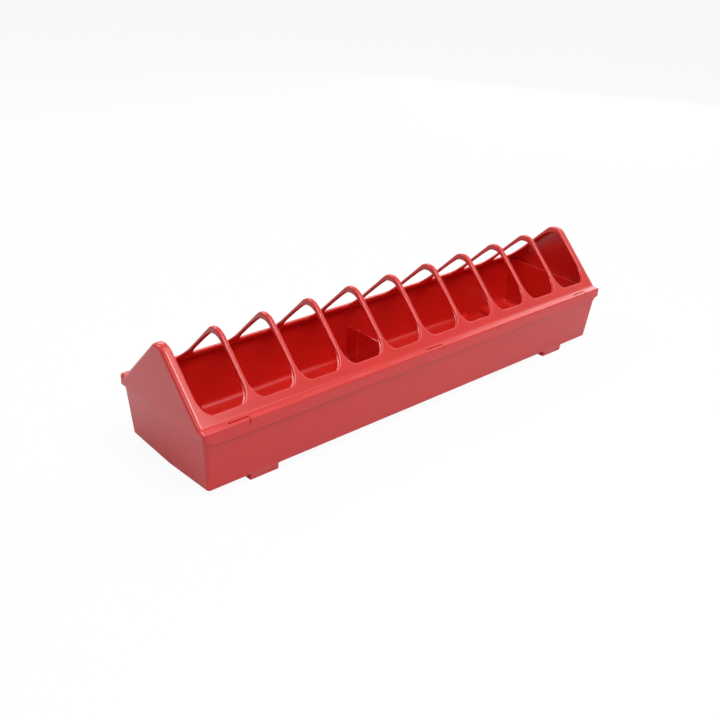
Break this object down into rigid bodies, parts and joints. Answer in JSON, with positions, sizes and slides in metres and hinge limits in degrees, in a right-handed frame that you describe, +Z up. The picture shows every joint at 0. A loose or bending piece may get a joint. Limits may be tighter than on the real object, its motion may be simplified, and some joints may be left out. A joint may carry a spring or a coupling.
{
  "type": "poultry feed trough",
  "caption": "Long open feed trough for poultry with a push-fit grille lid whose inverted-V hoops divide it into feeding bays.",
  "frame": {"origin": "on the ground under the middle of the two feet, at the centre of the part's footprint", "axes": "+Z up, +X along the trough, +Y across it"},
  "size_m": [0.5, 0.1274, 0.1137],
  "materials": {
    "trough_plastic": "soft gloss, injection moulded",
    "lid_plastic": "soft gloss, injection moulded"
  },
  "bodies": {
    "tub": {"trough": "trough_plastic"},
    "lid": {"grille_lid": "lid_plastic"}
  },
  "joints": [
    {"name": "lid_lift", "type": "slide", "parent": "tub", "child": "lid", "axis": [0, 0, 1], "range_m": [0, 0.12]}
  ]
}
